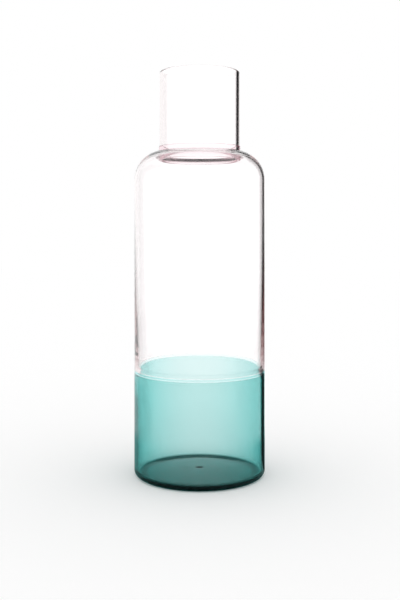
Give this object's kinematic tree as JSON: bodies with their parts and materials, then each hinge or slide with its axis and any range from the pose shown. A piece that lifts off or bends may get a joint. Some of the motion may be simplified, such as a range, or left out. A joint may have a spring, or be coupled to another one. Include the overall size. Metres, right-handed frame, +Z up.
{
  "type": "water carafe",
  "caption": "Tall round glass water carafe: a tinted closed cup as the base, a clear body with a rounded shoulder, and a straight open neck.",
  "frame": {"origin": "centre of the base, on the surface the carafe stands on", "axes": "+Z up along the axis of the vessel; the shape is round, so +X and +Y are free"},
  "size_m": [0.09, 0.09, 0.2774],
  "materials": {
    "teal_glass": "polished, fire-worked",
    "joint_glass": "polished, fused",
    "rose_glass": "polished, fire-worked",
    "seal_glass": "polished, fused"
  },
  "bodies": {
    "root": {"base_cup": "teal_glass", "colour_joint": "joint_glass", "body_tube": "rose_glass", "neck_seal": "seal_glass", "neck_tube": "rose_glass"}
  },
  "joints": []
}
